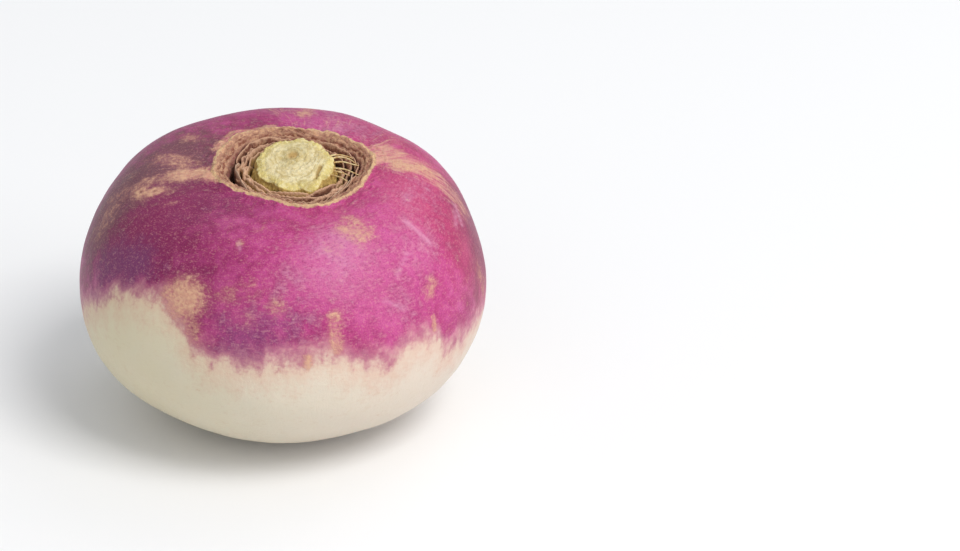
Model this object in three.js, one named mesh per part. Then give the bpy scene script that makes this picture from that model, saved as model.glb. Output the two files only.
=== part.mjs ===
// A trimmed purple-top turnip, standing on the small flat left by its cut tap root.
// Millimetres, +Z up. The origin is the middle of that flat, and -Y is the front.
//
// The swollen root is one piece with a shallow basin in its top. In the basin stand the stump of the
// cut leaf stalks, the dry bases of older leaves, which curve round the stump like shallow crescents,
// and a few fibres torn from the stump when the leaves were pulled away.
import * as THREE from "three";

// ---- Driving dimensions ----
const BELLY_RADIUS = 43.75;
const BELLY_HEIGHT = 28.9; // where the root is widest
const SHOULDER_RADIUS = 22; // the circle along the top of the shoulder
const SHOULDER_HEIGHT = 55.9; // its height, before the crown leans
const FLAT_RADIUS = 7.5; // the trimmed tap root, which the turnip rests on
const SQUARENESS = 2.05; // of the side's outline: 2 is an ellipse, more is squarer

const RIM_RADIUS = 17.5; // the corky rim round the basin
const RIM_HEIGHT = 55.8;
const BASIN_RADIUS = 14.8;
const BASIN_DEPTH = 4.1; // under the rim
const BASIN_LIP = 1.2; // how far under the rim its wall turns steep

const CROWN_LEAN = THREE.MathUtils.degToRad(5.5); // towards the front
const CROWN_MIDDLE = new THREE.Vector3(0, 0, RIM_HEIGHT);
const CROWN_SHIFT = new THREE.Vector3(3.1, 0, 0); // the crown sits right of the middle
const SHIFT_WHOLE = 18; // radii between which the shift fades out
const SHIFT_NONE = 30;

// Hollows and swellings of the skin: where they are, how far they spread and how far they stand out.
const SWELLS = [
  { angle: 45, height: 51.5, spread: 5.5, out: -0.7 }, // a hollow in the right back shoulder
  { angle: 149, height: 49, spread: 8, out: 0.7 },
  { angle: 9, height: 39, spread: 7, out: -0.5 },
  { angle: -27, height: 11, spread: 9, out: 0.3 },
  { angle: -128, height: 9, spread: 12, out: -0.7 },
];

const GAP = 0.3; // kept between neighbouring pieces
const ROOT_SIDES = 72;
const STUMP_SIDES = 42;
const X_AXIS = new THREE.Vector3(1, 0, 0);
const Z_AXIS = new THREE.Vector3(0, 0, 1);

// ---- Materials ----
function finish(colour, roughness) {
  return new THREE.MeshStandardMaterial({ color: colour, roughness, metalness: 0 });
}
const skin = finish("#b5447e", 0.42);
const cutStalk = finish("#d8cf9c", 0.75);
const dryLeaf = finish("#8d6149", 0.85);
const fibre = finish("#dcc98f", 0.7);

// ---- Helpers ----
function named(name, geometry, material) {
  const mesh = new THREE.Mesh(geometry, material);
  mesh.name = name;
  return mesh;
}

// Lets change(point) move each vertex of a geometry.
function reshape(geometry, change) {
  const places = geometry.getAttribute("position");
  const point = new THREE.Vector3();
  for (let i = 0; i < places.count; i++) {
    change(point.fromBufferAttribute(places, i));
    places.setXYZ(i, point.x, point.y, point.z);
  }
  geometry.computeVertexNormals();
  return geometry;
}

// A solid turned about Z from [radius, height] points that start and end on the axis, going upwards.
function turned(profile, sides) {
  const points = profile.map(([radius, height]) => new THREE.Vector2(radius, height));
  return new THREE.LatheGeometry(points, sides).rotateX(Math.PI / 2);
}

// ---- The root ----
// The radius of the side at a height, before the crown leans: a quarter of a squared ellipse below
// the belly, and another above it.
function sideRadius(height) {
  const upper = height > BELLY_HEIGHT;
  const inner = upper ? SHOULDER_RADIUS : FLAT_RADIUS;
  const reach = upper ? SHOULDER_HEIGHT - BELLY_HEIGHT : BELLY_HEIGHT;
  const away = Math.min(Math.abs(height - BELLY_HEIGHT) / reach, 1);
  return inner + (BELLY_RADIUS - inner) * (1 - away ** SQUARENESS) ** (1 / SQUARENESS);
}

// Points of the side from one height to another, closer together where the side turns level.
function side(from, to, steps) {
  const level = Math.abs(from - BELLY_HEIGHT) > Math.abs(to - BELLY_HEIGHT);
  const points = [];
  for (let i = 1; i <= steps; i++) {
    const turn = ((i / steps) * Math.PI) / 2;
    const share = level ? 1 - Math.cos(turn) : Math.sin(turn);
    const height = from + (to - from) * share;
    points.push([sideRadius(height), height]);
  }
  return points;
}

function swelling(point) {
  const middle = new THREE.Vector3();
  return SWELLS.reduce((sum, { angle, height, spread, out }) => {
    middle.set(sideRadius(height), 0, height).applyAxisAngle(Z_AXIS, THREE.MathUtils.degToRad(angle));
    return sum + out * Math.exp(-middle.distanceToSquared(point) / (2 * spread ** 2));
  }, 0);
}

// Turns a point about the middle of the rim, as the crown leans, and moves it with the crown.
function withCrown(point) {
  const radius = Math.hypot(point.x, point.y);
  const rise = (point.z - BELLY_HEIGHT) / (SHOULDER_HEIGHT - BELLY_HEIGHT);
  if (rise <= 0) return;
  const leaned = point.clone().sub(CROWN_MIDDLE).applyAxisAngle(X_AXIS, CROWN_LEAN).add(CROWN_MIDDLE);
  point.lerp(leaned, radius <= SHOULDER_RADIUS ? 1 : rise ** 2);
  point.addScaledVector(CROWN_SHIFT, 1 - THREE.MathUtils.smoothstep(radius, SHIFT_WHOLE, SHIFT_NONE));
}

function rootGeometry() {
  const floor = RIM_HEIGHT - BASIN_DEPTH;
  const profile = [
    [0, 0],
    [FLAT_RADIUS, 0],
    ...side(0, BELLY_HEIGHT, 13),
    ...side(BELLY_HEIGHT, SHOULDER_HEIGHT, 13),
    [(SHOULDER_RADIUS + RIM_RADIUS) / 2, RIM_HEIGHT + 0.2],
    [RIM_RADIUS, RIM_HEIGHT],
    [BASIN_RADIUS + 1, RIM_HEIGHT - BASIN_LIP],
    [BASIN_RADIUS, floor],
    [0, floor],
  ];
  const outward = new THREE.Vector3();
  return reshape(turned(profile, ROOT_SIDES), (point) => {
    outward.set(point.x, point.y, point.z - BELLY_HEIGHT).normalize();
    if (point.z > 0 && Math.hypot(point.x, point.y) > SHOULDER_RADIUS / 2) {
      point.addScaledVector(outward, swelling(point));
    }
    withCrown(point);
  });
}

// ---- The crown, in its own frame: the origin is the middle of the rim, +Z along the leaf stalks ----
const BASE = GAP - BASIN_DEPTH; // the lowest that its pieces reach

const STUMP = {
  baseRadius: 8.8,
  topRadius: 8,
  top: 1.2, // height of the cut at its middle
  cutLean: THREE.MathUtils.degToRad(4), // the knife came down towards the front
  depthShare: 1.05, // front to back against side to side
  ribs: 7, // stalk bases that show as ribs on its side
  ribDepth: 0.25,
};

function stumpGeometry() {
  const tall = STUMP.top - BASE;
  const geometry = new THREE.CylinderGeometry(STUMP.topRadius, STUMP.baseRadius, tall, STUMP_SIDES, 3);
  geometry.rotateX(Math.PI / 2).translate(0, 0, BASE + tall / 2);
  return reshape(geometry, (point) => {
    const angle = Math.atan2(point.y, point.x);
    const radius = Math.hypot(point.x, point.y);
    const ribbed = radius > 1 ? radius + STUMP.ribDepth * Math.cos(STUMP.ribs * angle) : radius;
    const up = (point.z - BASE) / tall;
    point.x = ribbed * Math.cos(angle);
    point.y = ribbed * Math.sin(angle) * STUMP.depthShare;
    point.z += up * point.y * Math.tan(STUMP.cutLean);
  });
}

// One dry leaf base: a crescent round the stump. radius is its outer edge, from and to its ends in
// degrees from +X towards the back, thick its greatest thickness and top its height over the rim.
const LEAF_BASES = [
  { name: "leaf_base_left", radius: 13.2, from: 150, to: 218, thick: 2.6, top: 0.2 },
  { name: "leaf_base_front_left", radius: 11.1, from: 214, to: 288, thick: 1.2, top: -0.7 },
  { name: "leaf_base_front", radius: 13.8, from: 226, to: 300, thick: 1.3, top: -1.0 },
  { name: "leaf_base_front_right", radius: 12.4, from: 293, to: 336, thick: 2.2, top: -0.8 },
  { name: "leaf_base_right", radius: 14.4, from: 306, to: 374, thick: 1.0, top: -0.4 },
  { name: "leaf_base_back_right", radius: 13.8, from: 22, to: 84, thick: 1.8, top: -0.3 },
  { name: "leaf_base_back", radius: 13.6, from: 89, to: 144, thick: 1.5, top: -0.2 },
];
const CRESCENT_STEPS = 10;
const BLUNT_END = 0.25; // share of the thickness left at a crescent's two ends

function crescentGeometry({ radius, from, to, thick, top }) {
  const outer = [];
  const inner = [];
  for (let i = 0; i <= CRESCENT_STEPS; i++) {
    const angle = THREE.MathUtils.degToRad(from + ((to - from) * i) / CRESCENT_STEPS);
    const depth = thick * (BLUNT_END + (1 - BLUNT_END) * Math.sin((Math.PI * i) / CRESCENT_STEPS));
    outer.push(new THREE.Vector2(Math.cos(angle), Math.sin(angle)).multiplyScalar(radius));
    inner.unshift(new THREE.Vector2(Math.cos(angle), Math.sin(angle)).multiplyScalar(radius - depth));
  }
  const outline = new THREE.Shape([...outer, ...inner]);
  return new THREE.ExtrudeGeometry(outline, { depth: top - BASE, bevelEnabled: false }).translate(0, 0, BASE);
}

// One torn fibre: it leaves the stump's side at an angle in degrees from +X towards the back, arches
// up and ends at a radius, short of the leaf base there.
const STRANDS = [
  { name: "torn_strand_back", angle: 22, reach: 12.4, arch: 0.6, end: -0.5 },
  { name: "torn_strand_upper", angle: 8, reach: 12.6, arch: 0.7, end: -0.4 },
  { name: "torn_strand_lower", angle: -7, reach: 12.6, arch: 0.5, end: -0.8 },
  { name: "torn_strand_front", angle: -25, reach: 12.0, arch: 0.9, end: 0.4 },
];
const STRAND_RADIUS = 0.35;
const STRAND_SIDES = 6;
const STRAND_STEPS = 6;

function strandGeometry({ angle, reach, arch, end }) {
  const at = (radius, height) => new THREE.Vector3(radius, 0, height);
  const start = STUMP.baseRadius + STUMP.ribDepth + GAP;
  const path = new THREE.CatmullRomCurve3([at(start, 0), at((start + reach) / 2, arch), at(reach, end)]);
  const corners = [];
  for (let i = 0; i < STRAND_SIDES; i++) {
    const turn = (i / STRAND_SIDES) * 2 * Math.PI;
    corners.push(new THREE.Vector2(Math.cos(turn), Math.sin(turn)).multiplyScalar(STRAND_RADIUS));
  }
  const options = { extrudePath: path, steps: STRAND_STEPS, bevelEnabled: false };
  return new THREE.ExtrudeGeometry(new THREE.Shape(corners), options).rotateZ(THREE.MathUtils.degToRad(angle));
}

// ---- Assembly ----
const crown = new THREE.Group();
crown.position.copy(CROWN_MIDDLE).add(CROWN_SHIFT);
crown.rotation.x = CROWN_LEAN;
crown.add(named("crown_stump", stumpGeometry(), cutStalk));
for (const leaf of LEAF_BASES) crown.add(named(leaf.name, crescentGeometry(leaf), dryLeaf));
for (const strand of STRANDS) crown.add(named(strand.name, strandGeometry(strand), fibre));

const turnip = new THREE.Group();
turnip.add(named("turnip_root", rootGeometry(), skin));
turnip.add(crown);

export default turnip;
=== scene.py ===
# %% [markdown]
# # A trimmed purple-top turnip
# A turnip is a root that has swollen into a flattened globe. The part that grew in the light turned
# purple, and the part in the soil stayed cream. The leaves have been cut off, which leaves a stump in a
# shallow basin at the top, ringed by a corky rim and by the dry bases of older leaves. The CAD model
# holds the sizes and the places. This lesson gives each of its pieces its finished shape and skin.
# We start by loading that model, so that every later piece can be measured against it.

# %% Load the frame
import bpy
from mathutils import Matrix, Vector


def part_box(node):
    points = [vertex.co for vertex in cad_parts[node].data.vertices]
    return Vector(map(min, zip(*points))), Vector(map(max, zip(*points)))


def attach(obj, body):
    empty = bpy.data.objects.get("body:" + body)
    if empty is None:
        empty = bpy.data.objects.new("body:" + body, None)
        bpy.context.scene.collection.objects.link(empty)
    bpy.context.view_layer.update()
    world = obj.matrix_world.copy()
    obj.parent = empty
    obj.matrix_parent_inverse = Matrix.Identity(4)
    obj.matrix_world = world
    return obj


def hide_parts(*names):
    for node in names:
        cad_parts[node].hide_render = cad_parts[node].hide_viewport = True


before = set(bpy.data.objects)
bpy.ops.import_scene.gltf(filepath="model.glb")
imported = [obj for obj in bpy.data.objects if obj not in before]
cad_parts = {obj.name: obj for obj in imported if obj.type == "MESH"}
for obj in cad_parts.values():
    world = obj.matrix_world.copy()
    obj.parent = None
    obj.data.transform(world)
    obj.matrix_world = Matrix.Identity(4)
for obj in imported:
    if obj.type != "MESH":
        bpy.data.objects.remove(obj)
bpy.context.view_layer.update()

# %% Units and tools
import math
import bpy
import numpy as np
from mathutils import Matrix, Vector, noise

MM = 0.001  # Blender works in metres, and a turnip is easier to think of in millimetres


def start_clean():
    """Leaves edit mode and deselects everything, because an operator acts on all that is selected."""
    if bpy.context.mode != "OBJECT":
        bpy.ops.object.mode_set(mode="OBJECT")
    bpy.ops.object.select_all(action="DESELECT")


def places(piece):
    """The piece's vertices as rows of x, y and z, in millimetres."""
    co = np.empty(len(piece.data.vertices) * 3)
    piece.data.vertices.foreach_get("co", co)
    return co.reshape(-1, 3) / MM


def move_to(piece, co):
    """Moves the piece's vertices to rows of x, y and z, in millimetres."""
    piece.data.vertices.foreach_set("co", (co * MM).ravel())
    piece.data.update()


def polar(degrees, away, height):
    """The point at an angle round the upright axis, a distance away from it and a height."""
    turn = math.radians(degrees)
    return np.array([away * math.cos(turn), away * math.sin(turn), height])


def rumple(co, size, seed):
    """Smooth noise from about -1 to 1 at each point, with lumps of a size in millimetres."""
    shift = Vector((seed * 17.3, seed * 5.1, seed * 9.7))
    return np.array([noise.noise(Vector(p) / size + shift) for p in co]) * 1.6


def ease(value, low, high):
    """0 below low, 1 above high, and a smooth rise between them."""
    share = np.clip((value - low) / (high - low), 0, 1)
    return share * share * (3 - 2 * share)


# %% [markdown]
# ## The camera
# The camera is made first. It looks down at the turnip by 27 degrees from its front, far enough away for
# a flat, natural perspective, and the turnip stands left of the middle. A long lens does that: its focal
# length comes from how wide a strip has to fit in the frame at the distance of the turnip.

# %% Camera
LOOK_DOWN = math.radians(27)
DISTANCE = 640 * MM
STRIP = 207 * MM  # the width that fits across the frame at that distance
AIM = Vector((42.3, 0, 30.3)) * MM

camera_data = bpy.data.cameras.new("camera")
camera_data.lens = camera_data.sensor_width * DISTANCE / STRIP
camera = bpy.data.objects.new("camera", camera_data)
camera.location = AIM + DISTANCE * Vector((0, -math.cos(LOOK_DOWN), math.sin(LOOK_DOWN)))
camera.rotation_euler = (math.pi / 2 - LOOK_DOWN, 0, 0)
bpy.context.scene.collection.objects.link(camera)
bpy.context.scene.camera = camera
print("lens, mm:", round(camera_data.lens, 1))

# %% [markdown]
# ## The studio
# The turnip stands on a white table in a bright tent, which gives half of the light, even and slightly
# cool. The key softbox hangs high in front on the right, a second one stands low on the right, and weak
# ones light the back and the front left, so the shadow is soft and falls to the left. The view transform
# is set to Standard, so that white stays white.

# %% Floor
TABLE_WIDTH = 6

start_clean()
bpy.ops.mesh.primitive_plane_add(size=TABLE_WIDTH, location=(0, 0, 0))
table = bpy.context.object
table.name = "table_top"
table_white = bpy.data.materials.new("matte white table")
table_white.use_nodes = True
paint = table_white.node_tree.nodes["Principled BSDF"]
paint.inputs["Base Color"].default_value = (0.86, 0.86, 0.87, 1)
paint.inputs["Roughness"].default_value = 0.9
paint.inputs["Specular IOR Level"].default_value = 0.1
table.data.materials.append(table_white)
print("table, m:", TABLE_WIDTH)

# %% Lights
bpy.context.scene.view_settings.view_transform = "Standard"
bpy.context.scene.view_settings.look = "None"

TENT_COLOUR = (0.93, 0.965, 1.0, 1)
TENT_STRENGTH = 0.57
tent = bpy.data.worlds.new("white tent")
tent.use_nodes = True
tent.node_tree.nodes["Background"].inputs["Color"].default_value = TENT_COLOUR
tent.node_tree.nodes["Background"].inputs["Strength"].default_value = TENT_STRENGTH
bpy.context.scene.world = tent

TURNIP_MIDDLE = Vector((0, 0, 0.03))
SOFTBOX_COLOUR = (1.0, 0.985, 0.96)


def softbox(name, place, width, watts):
    """A square area light that faces the turnip."""
    data = bpy.data.lights.new(name, "AREA")
    data.size = width
    data.energy = watts
    data.color = SOFTBOX_COLOUR
    box = bpy.data.objects.new(name, data)
    box.location = place
    aim = TURNIP_MIDDLE - box.location
    box.rotation_euler = aim.to_track_quat("-Z", "Y").to_euler()
    bpy.context.scene.collection.objects.link(box)


SOFTBOXES = {  # place in metres, width in metres, watts
    "key": ((1.15, -0.95, 2.05), 1.1, 36),
    "side": ((2.00, -1.00, 0.90), 1.2, 14),
    "back": ((1.00, 1.25, 1.90), 1.3, 5),
    "fill": ((-0.90, -1.70, 1.60), 1.6, 4),
}
for name, (place, width, watts) in SOFTBOXES.items():
    softbox(f"{name} softbox", Vector(place), width, watts)
print("softboxes:", len(SOFTBOXES))

# %% [markdown]
# ## The body of the root
# A root is round, so it is turned: one side outline is drawn as a chain of edges and spun about the
# upright axis. The outline has four stretches: the flat scar of the tap root, the belly as two quarters
# of a slightly squared ellipse, the corky rim, and the basin inside it. The points lie closest together
# in the crown, where the finest shapes are. Spinning makes clean rings that follow the way it grew.

# %% Driving dimensions, the same as the CAD model's
BELLY_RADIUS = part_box("turnip_root")[1].y / MM
BELLY_HEIGHT = 28.9
SHOULDER_RADIUS = 22
SHOULDER_HEIGHT = 55.9
SCAR_RADIUS = 7.5
SQUARENESS = 2.05
RIM_HEIGHT = 55.8
CROWN_LEAN = math.radians(5.5)
CROWN_SHIFT = 3.1


def side_radius(height):
    """The radius of the root's side at a height, before the crown leans."""
    upper = height > BELLY_HEIGHT
    inner = np.where(upper, SHOULDER_RADIUS, SCAR_RADIUS)
    reach = np.where(upper, SHOULDER_HEIGHT - BELLY_HEIGHT, BELLY_HEIGHT)
    away = np.clip(np.abs(height - BELLY_HEIGHT) / reach, 0, 1)
    return inner + (BELLY_RADIUS - inner) * (1 - away**SQUARENESS) ** (1 / SQUARENESS)


print("belly radius, mm:", round(BELLY_RADIUS, 2), " radius at 45 mm:", round(float(side_radius(45)), 2))

# %% The side outline
quarter = np.linspace(0, math.pi / 2, 200)
lower = BELLY_HEIGHT * (1 - np.cos(quarter))
upper = BELLY_HEIGHT + (SHOULDER_HEIGHT - BELLY_HEIGHT) * np.sin(quarter)

SCAR_OUTLINE = [(0, 0.5), (4.5, 0.45), (6.2, 0.1), (6.8, 0)]  # a dished cut with a callus round it
CROWN_OUTLINE = [  # three ridges of cork with grooves between them, the basin's wall and its floor
    (20.4, 56.0), (19.0, 56.1), (18.2, 56.3), (17.8, 56.55), (17.4, 56.4), (17.15, 55.95), (16.9, 55.85),
    (16.6, 56.05), (16.35, 55.95), (16.1, 55.4), (15.8, 55.3), (15.5, 55.45), (15.25, 55.2), (15.0, 54.6),
    (14.8, 54.0), (14.5, 53.0), (14.0, 52.2), (13.0, 51.9), (9.0, 51.7), (0, 51.7),
]
outline = np.array(
    SCAR_OUTLINE
    + [(float(side_radius(h)), h) for h in lower]
    + [(float(side_radius(h)), h) for h in upper[1:]]
    + CROWN_OUTLINE
)
path = np.concatenate([[0], np.cumsum(np.linalg.norm(np.diff(outline, axis=0), axis=1))])
belly_at = path[len(SCAR_OUTLINE) + len(lower) - 1]
rim_at = path[-len(CROWN_OUTLINE) - 1]
wall_end = path[-3]
print("along the outline, mm:", [round(float(at), 1) for at in (belly_at, rim_at, wall_end, path[-1])])

# %% Even the points out
SIDE_SPACING = 0.8  # from ring to ring, in mm
RIM_SPACING = 0.24
FLOOR_SPACING = 1.2


def steps(start, end, spacing):
    """Distances from start up to, but not at, end, as near to the spacing as fits."""
    return np.linspace(start, end, max(2, round((end - start) / spacing)), endpoint=False)


stations = np.concatenate([
    steps(0, rim_at, SIDE_SPACING),
    steps(rim_at, wall_end, RIM_SPACING),
    steps(wall_end, path[-1], FLOOR_SPACING),
    [path[-1]],
])
ring_radius = np.interp(stations, path, outline[:, 0])
ring_height = np.interp(stations, path, outline[:, 1])
for ring in (ring_radius, ring_height):  # takes the corners off the crown's outline
    ring[1:-1] = ring[1:-1] / 2 + (ring[:-2] + ring[2:]) / 4
print("outline points:", len(stations))


# %% Turn an outline
def lathe(name, outline, spin_steps):
    """Draws (radius, height) points in mm, which start and end on the axis, as edges, and spins them."""
    start_clean()
    bpy.ops.mesh.primitive_plane_add(size=MM)
    piece = bpy.context.object
    piece.name = name
    bpy.ops.object.mode_set(mode="EDIT")
    bpy.ops.mesh.select_all(action="SELECT")
    bpy.ops.mesh.merge(type="CENTER")
    bpy.ops.transform.translate(value=(0, 0, outline[0][1] * MM))
    for (r0, z0), (r1, z1) in zip(outline, outline[1:]):
        step = Vector((r1 - r0, 0, z1 - z0)) * MM
        bpy.ops.mesh.extrude_region_move(TRANSFORM_OT_translate={"value": step})
    bpy.ops.mesh.select_all(action="SELECT")
    bpy.ops.mesh.spin(steps=spin_steps, angle=2 * math.pi, center=(0, 0, 0), axis=(0, 0, 1))
    bpy.ops.mesh.select_all(action="SELECT")
    bpy.ops.mesh.remove_doubles(threshold=0.002 * MM)
    bpy.ops.mesh.normals_make_consistent(inside=False)
    bpy.ops.object.mode_set(mode="OBJECT")
    return piece


root = lathe("root_skin", list(zip(ring_radius, ring_height)), spin_steps=320)
print("root:", len(root.data.vertices), "points", len(root.data.polygons), "faces")

# %% [markdown]
# ## Where a point lies on the skin
# Every mark on the skin is placed by two numbers: its angle round the root, in degrees from the right
# towards the back, and how far up it lies along the skin from the belly line, in millimetres. Both are
# worked out once, from the turned shape, and kept while the shape is pushed about.

# %% Angle and distance along the skin
turned = places(root)
radius = np.hypot(turned[:, 0], turned[:, 1])
angle = np.arctan2(turned[:, 1], turned[:, 0])
ring_points = np.stack([ring_radius, ring_height], axis=1)
nearest_ring = np.array([
    np.argmin((ring_points[:, 0] - r) ** 2 + (ring_points[:, 1] - z) ** 2)
    for r, z in zip(radius, turned[:, 2])
])
along = stations[nearest_ring] - belly_at
rim_up = rim_at - belly_at  # how far up the skin the rim starts
scar_up = -belly_at + SCAR_RADIUS  # and, below the belly line, the edge of the scar
crown_share = ease(along, rim_up - 1, rim_up + 3)  # 1 from the rim inwards


def skin_place(degrees, up):
    """The point of the turned shape at an angle and a distance up the skin."""
    r = np.interp(up + belly_at, stations, ring_radius)
    z = np.interp(up + belly_at, stations, ring_height)
    return polar(degrees, r, z)


def distance_to(mark):
    """How far each point is from a line through (degrees, up) places, or from one such place."""
    spots = [skin_place(*place) for place in mark]
    best = np.linalg.norm(turned - spots[0], axis=1)
    for a, b in zip(spots, spots[1:]):
        share = np.clip((turned - a) @ (b - a) / ((b - a) @ (b - a)), 0, 1)
        best = np.minimum(best, np.linalg.norm(turned - a - share[:, None] * (b - a), axis=1))
    return best


print("skin runs from", round(along.min(), 1), "to", round(along.max(), 1), "mm")

# %% [markdown]
# ## Making it grown, not turned
# A real root is never a perfect turning. Broad hollows and swellings push the side in and out, as in the
# CAD model. Slow lumps a few millimetres deep in the hand, though only tenths of a millimetre high, keep
# the highlight from running too evenly. The rim wanders, and its cork is knobbly.

# %% Swellings and lumps
SWELLS = [  # degrees round, height, spread and how far out, in mm, the same as the CAD model's
    (45, 51.5, 5.5, -0.7),
    (149, 49, 8, 0.7),
    (9, 39, 7, -0.5),
    (-27, 11, 9, 0.3),
    (-128, 9, 12, -0.7),
]
grown = turned.copy()
outward = turned - [0, 0, BELLY_HEIGHT]
outward /= np.linalg.norm(outward, axis=1)[:, None]
standing = (radius > SHOULDER_RADIUS / 2) & (along > scar_up)
for degrees, height, spread, out in SWELLS:
    middle = polar(degrees, float(side_radius(height)), height)
    swell = out * np.exp(-((turned - middle) ** 2).sum(axis=1) / (2 * spread**2))
    grown += outward * (swell * standing)[:, None]

side_share = ease(along, scar_up, scar_up + 12)
lumps = 0.16 * rumple(turned, 13, 1) + 0.05 * rumple(turned, 4.5, 2)
grown += outward * (lumps * side_share * (1 - 0.7 * crown_share))[:, None]
print("lumps, mm:", round(float(np.ptp(lumps)), 2))

# %% The rim seen from above
RIM_PLAN = [  # degrees round the crown, and how far out or in of a circle the rim lies there, in mm
    (-180, -0.8), (-172, -0.6), (-160, -1.2), (-150, -2.0), (-135, -3.4), (-118, -4.3), (-103, -4.2),
    (-90, -2.6), (-75, -0.3), (-60, -0.7), (-45, -1.5), (-15, -1.9), (0, -1.8), (10, -1.2), (25, -0.8),
    (42, -1.9), (60, -2.3), (78, -2.8), (92, -1.9), (102, -1.0), (115, -0.2), (125, 0.4),
    (142, 0.4), (160, -0.4), (180, -0.8),
]


def rim_pull(degrees):
    """How far the rim is pulled out of round at an angle, which may be any whole turns away."""
    plan = np.array(RIM_PLAN)
    near = [np.interp((degrees + step + 180) % 360 - 180, plan[:, 0], plan[:, 1]) for step in (-9, -3, 3, 9)]
    return sum(near) / len(near)


print("rim pulled by", round(float(rim_pull(-110)), 1), "mm at the front left")

# %% The knobbly rim
across = np.stack([np.cos(angle), np.sin(angle), np.zeros_like(angle)], axis=1)
pull = rim_pull(np.degrees(angle)) * ease(along, rim_up - 7, rim_up + 2)
grown += across * (pull * ease(radius, 8, 14))[:, None]
near_rim = crown_share * ease(radius, 11, 15)
wander = 0.45 * rumple(across * 3, 1.6, 3) + 0.2 * rumple(across * 3, 0.5, 4)
layered = np.stack([turned[:, 0], turned[:, 1], along * 2], axis=1)  # so that each ridge runs its own way
wander += 0.2 * rumple(layered, 2.4, 10) + 0.16 * rumple(layered, 0.9, 12)
grown += across * (wander * near_rim)[:, None]
cork = 0.3 * rumple(turned * [1, 1, 0.3], 3.2, 5) + 0.16 * rumple(layered, 1.6, 44)
cork += 0.14 * rumple(turned, 0.8, 6) + 0.12 * rumple(turned, 0.45, 7)
grown[:, 2] += cork * near_rim
print("rim wanders by", round(float(np.ptp(pull + wander)), 2), "mm")


# %% Lean and shift the crown
def with_crown(co):
    """Leans points about the middle of the rim and moves them with the crown, as the CAD model does."""
    rise = (co[:, 2] - BELLY_HEIGHT) / (SHOULDER_HEIGHT - BELLY_HEIGHT)
    level = co - [0, 0, RIM_HEIGHT]
    leaned = level.copy()
    leaned[:, 1] = level[:, 1] * math.cos(CROWN_LEAN) - level[:, 2] * math.sin(CROWN_LEAN)
    leaned[:, 2] = level[:, 1] * math.sin(CROWN_LEAN) + level[:, 2] * math.cos(CROWN_LEAN) + RIM_HEIGHT
    away = np.hypot(co[:, 0], co[:, 1])
    share = np.where(away <= SHOULDER_RADIUS, 1, np.clip(rise, 0, 1) ** 2) * (rise > 0)
    moved = co + (leaned - co) * share[:, None]
    moved[:, 0] += CROWN_SHIFT * (1 - ease(away, 18, 30)) * (rise > 0)
    return moved


move_to(root, with_crown(grown))
start_clean()
root.select_set(True)
bpy.context.view_layer.objects.active = root
bpy.ops.object.shade_smooth()
print("root box, mm:", places(root).min(axis=0).round(1), places(root).max(axis=0).round(1))

# %% [markdown]
# ## Where each colour goes
# The colours of the skin follow how the root grew, so they are stored on the points of the mesh as
# numbers, and the material turns them into colour. "tide" is how far a point lies above the line that
# the soil reached. "mark" grows towards the middle of each corky scar or graze. "plum" is how dark the
# purple is, and near the right edge it also holds painted shade. "violet" says how much violet a point
# has. "pale" places painted highlight and sheen, "rosy" a painted reddish shade and reflection at the
# right edge, and "dull" a painted grey sheen and shade along the left outline. "east" runs from left to
# right, and the cream is tinted greener towards the left and pinker towards the right. "grain" and
# "ray" are the point in a stretched space, in which fine noise becomes short streaks: round the root,
# as its growth lines run, or down it from the crown, as weathered cork runs. "layer" is stretched round
# the crown, for the thin lines between the layers of cork in its rim.

# %% The soil line and the shades of purple
SOIL_LINE = [  # degrees round, mm up from the belly line
    (-175, -1), (-162, 1), (-154, 5), (-146, 8.5), (-142, 11.5), (-128, 14.6), (-124, 15.5), (-120, 12.5),
    (-115, 9.5), (-111, 6), (-107, 4), (-98, 4), (-90, 4.4), (-82, 4.8), (-79, 6), (-73, 5.6), (-69, 3.4),
    (-64, 1.6), (-57, 0.2), (-53, 2.6), (-49, 3.4), (-43, 2.6), (-39.5, 1.6), (-37.5, -2.4), (-32, -2.6),
    (-24, -2.8), (-18, -1.6), (-8, -3), (10, -3), (30, 1), (50, 2), (72, -2), (90, 1), (110, 4), (128, 1),
    (150, 2.5), (168, -2), (185, -1),
]
line = np.array(SOIL_LINE)
tide = along - np.interp(np.degrees(angle), line[:, 0], line[:, 1])
tide += 0.9 * rumple(turned * [1, 1, 0.5], 2.6, 8) + 0.6 * rumple(turned * [1, 1, 0.5], 1.2, 9)

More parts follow.
